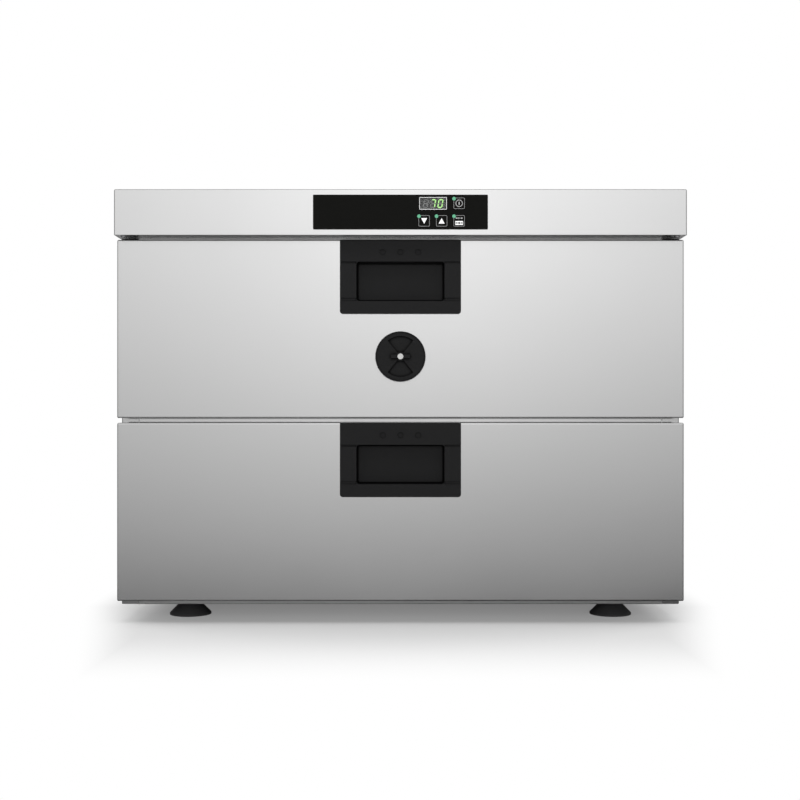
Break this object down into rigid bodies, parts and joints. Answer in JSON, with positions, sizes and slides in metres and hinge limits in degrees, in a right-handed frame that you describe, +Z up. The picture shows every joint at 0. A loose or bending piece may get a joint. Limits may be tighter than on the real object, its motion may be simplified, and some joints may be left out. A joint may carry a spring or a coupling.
{
  "type": "countertop warming drawer",
  "caption": "Free-standing food warmer: insulated steel case, stacked drawers on telescopic slides, recessed pulls, turning vent and a hood with keys and display.",
  "frame": {"origin": "on the supporting surface, under the middle of the object's outline (front key faces to rear cable gland)", "axes": "+X to the right seen from the front, -Y out of the front, +Z up"},
  "size_m": [0.62, 0.4556, 0.4735],
  "materials": {
    "front_steel": "satin, fine horizontal grain",
    "case_steel": "satin, fine grain",
    "liner_steel": "bright rolled",
    "blanket": "mineral wool felt",
    "handle_plastic": "fine moulded texture",
    "pin_steel": "turned",
    "fascia_plastic": "smooth film, semi-gloss",
    "key_plastic": "smooth film, semi-gloss",
    "window_glass": "smoked, polished",
    "module_plastic": "moulded",
    "lens_green": "translucent, lit",
    "board_laminate": "solder mask",
    "fastener_steel": "bright zinc",
    "foot_rubber": "moulded rubber",
    "seal_rubber": "silicone, smooth",
    "frame_steel": "rolled, welded",
    "slide_steel": "bright rolled",
    "element_alloy": "heat-darkened",
    "probe_steel": "drawn tube",
    "terminal_plastic": "moulded",
    "gland_plastic": "moulded nylon"
  },
  "bodies": {
    "chassis": {"base_pan": "case_steel", "board_standoffs": "fastener_steel", "cable_gland": "gland_plastic", "case_insulation": "blanket", "case_screws": "fastener_steel", "compartment_floor": "case_steel", "control_board": "board_laminate", "control_fascia": "fascia_plastic", "display_module": "module_plastic", "display_window": "window_glass", "element_clips": "liner_steel", "element_cover": "liner_steel", "foot_bolts": "fastener_steel", "foot_front_left": "foot_rubber", "foot_front_right": "foot_rubber", "foot_rear_left": "foot_rubber", "foot_rear_right": "foot_rubber", "front_rail_middle": "case_steel", "front_rail_top": "case_steel", "gland_locknut": "gland_plastic", "heating_element": "element_alloy", "hood": "front_steel", "indicator_lenses": "lens_green", "key_switches": "module_plastic", "limit_thermostat": "probe_steel", "liner_floor": "liner_steel", "liner_left": "liner_steel", "liner_rear": "liner_steel", "liner_right": "liner_steel", "lower_slide_outer": "slide_steel", "rear_panel": "case_steel", "side_panel_left": "case_steel", "side_panel_right": "case_steel", "temperature_probe": "probe_steel", "terminal_block": "terminal_plastic", "upper_slide_outer": "slide_steel"},
    "upper_drawer": {"upper_front_back": "liner_steel", "upper_front_insulation": "blanket", "upper_front_skin": "front_steel", "upper_gasket": "seal_rubber", "upper_handle": "handle_plastic", "upper_pan_frame": "frame_steel", "upper_slide_inner": "slide_steel", "vent_body": "handle_plastic", "vent_pin": "pin_steel"},
    "lower_drawer": {"lower_front_back": "liner_steel", "lower_front_insulation": "blanket", "lower_front_skin": "front_steel", "lower_gasket": "seal_rubber", "lower_handle": "handle_plastic", "lower_pan_frame": "frame_steel", "lower_slide_inner": "slide_steel"},
    "upper_slide_mid": {"upper_slide_mid": "slide_steel"},
    "lower_slide_mid": {"lower_slide_mid": "slide_steel"},
    "vent_shutter": {"vent_shutter": "handle_plastic"},
    "key_power": {"key_power": "key_plastic"},
    "key_down": {"key_down": "key_plastic"},
    "key_up": {"key_up": "key_plastic"},
    "key_start": {"key_start": "key_plastic"}
  },
  "joints": [
    {"name": "lower_drawer_slide", "type": "slide", "parent": "chassis", "child": "lower_drawer", "axis": [0, -1, 0], "range_m": [0, 0.35]},
    {"name": "lower_slide_mid_slide", "type": "slide", "parent": "chassis", "child": "lower_slide_mid", "axis": [0, -1, 0], "range_m": [0, 0.175]},
    {"name": "upper_drawer_slide", "type": "slide", "parent": "chassis", "child": "upper_drawer", "axis": [0, -1, 0], "range_m": [0, 0.35]},
    {"name": "upper_slide_mid_slide", "type": "slide", "parent": "chassis", "child": "upper_slide_mid", "axis": [0, -1, 0], "range_m": [0, 0.175]},
    {"name": "vent_turn", "type": "hinge", "parent": "upper_drawer", "child": "vent_shutter", "pos_m": [0, -0.2138, 0.2931], "axis": [0, 1, 0], "range_deg": [0, 90]},
    {"name": "key_power_press", "type": "slide", "parent": "chassis", "child": "key_power", "axis": [0, 1, 0], "range_m": [0, 0.0005], "stiffness_N_per_m": 2000, "springref_m": -0.0005},
    {"name": "key_down_press", "type": "slide", "parent": "chassis", "child": "key_down", "axis": [0, 1, 0], "range_m": [0, 0.0005], "stiffness_N_per_m": 2000, "springref_m": -0.0005},
    {"name": "key_up_press", "type": "slide", "parent": "chassis", "child": "key_up", "axis": [0, 1, 0], "range_m": [0, 0.0005], "stiffness_N_per_m": 2000, "springref_m": -0.0005},
    {"name": "key_start_press", "type": "slide", "parent": "chassis", "child": "key_start", "axis": [0, 1, 0], "range_m": [0, 0.0005], "stiffness_N_per_m": 2000, "springref_m": -0.0005}
  ],
  "couplings": [
    {"joint": "lower_slide_mid_slide", "follows": "lower_drawer_slide", "ratio": 0.5},
    {"joint": "upper_slide_mid_slide", "follows": "upper_drawer_slide", "ratio": 0.5}
  ]
}
